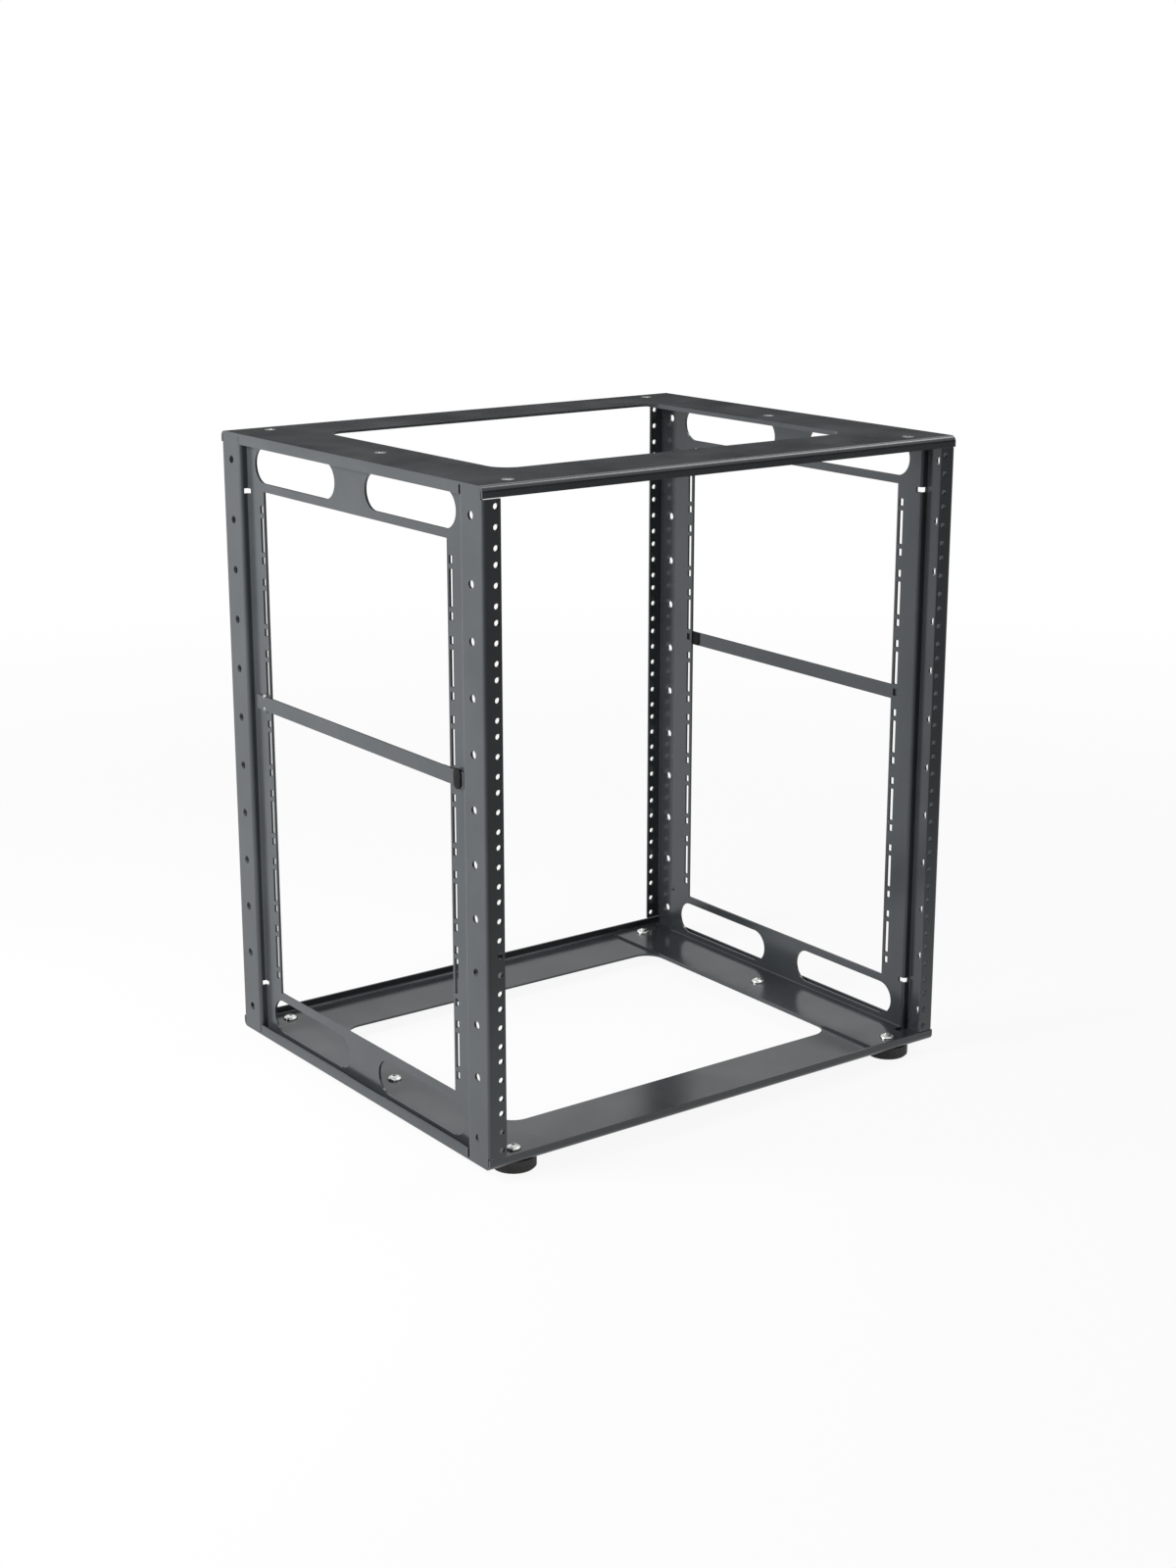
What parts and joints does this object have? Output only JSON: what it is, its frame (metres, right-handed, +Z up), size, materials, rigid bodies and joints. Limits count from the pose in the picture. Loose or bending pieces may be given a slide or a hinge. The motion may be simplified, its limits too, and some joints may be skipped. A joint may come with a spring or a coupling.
{
  "type": "open-frame rack",
  "caption": "Open-frame equipment rack of bent sheet steel: slotted corner posts with universal rack holes, open top and bottom pans, side plates with hand slots, rubber feet.",
  "frame": {"origin": "centre of the footprint on the floor, under the feet", "axes": "+Z up, +Y from the front face to the rear face, +X to the right seen from the front"},
  "size_m": [0.489, 0.4064, 0.5634],
  "materials": {
    "frame_paint": "semi-gloss black powder coat",
    "foot_rubber": "matte",
    "zinc_steel": "bright zinc"
  },
  "bodies": {
    "root": {"post_front_left": "frame_paint", "post_rear_left": "frame_paint", "post_front_right": "frame_paint", "post_rear_right": "frame_paint", "side_plate_top_left": "frame_paint", "side_plate_bottom_left": "frame_paint", "side_plate_top_right": "frame_paint", "side_plate_bottom_right": "frame_paint", "mid_bar_left": "frame_paint", "mid_bar_right": "frame_paint", "bottom_pan": "frame_paint", "top_pan": "frame_paint", "foot_front_left": "foot_rubber", "foot_rear_left": "foot_rubber", "foot_front_right": "foot_rubber", "foot_rear_right": "foot_rubber", "foot_washer_front_left": "zinc_steel", "foot_washer_rear_left": "zinc_steel", "foot_washer_front_right": "zinc_steel", "foot_washer_rear_right": "zinc_steel"}
  },
  "joints": []
}
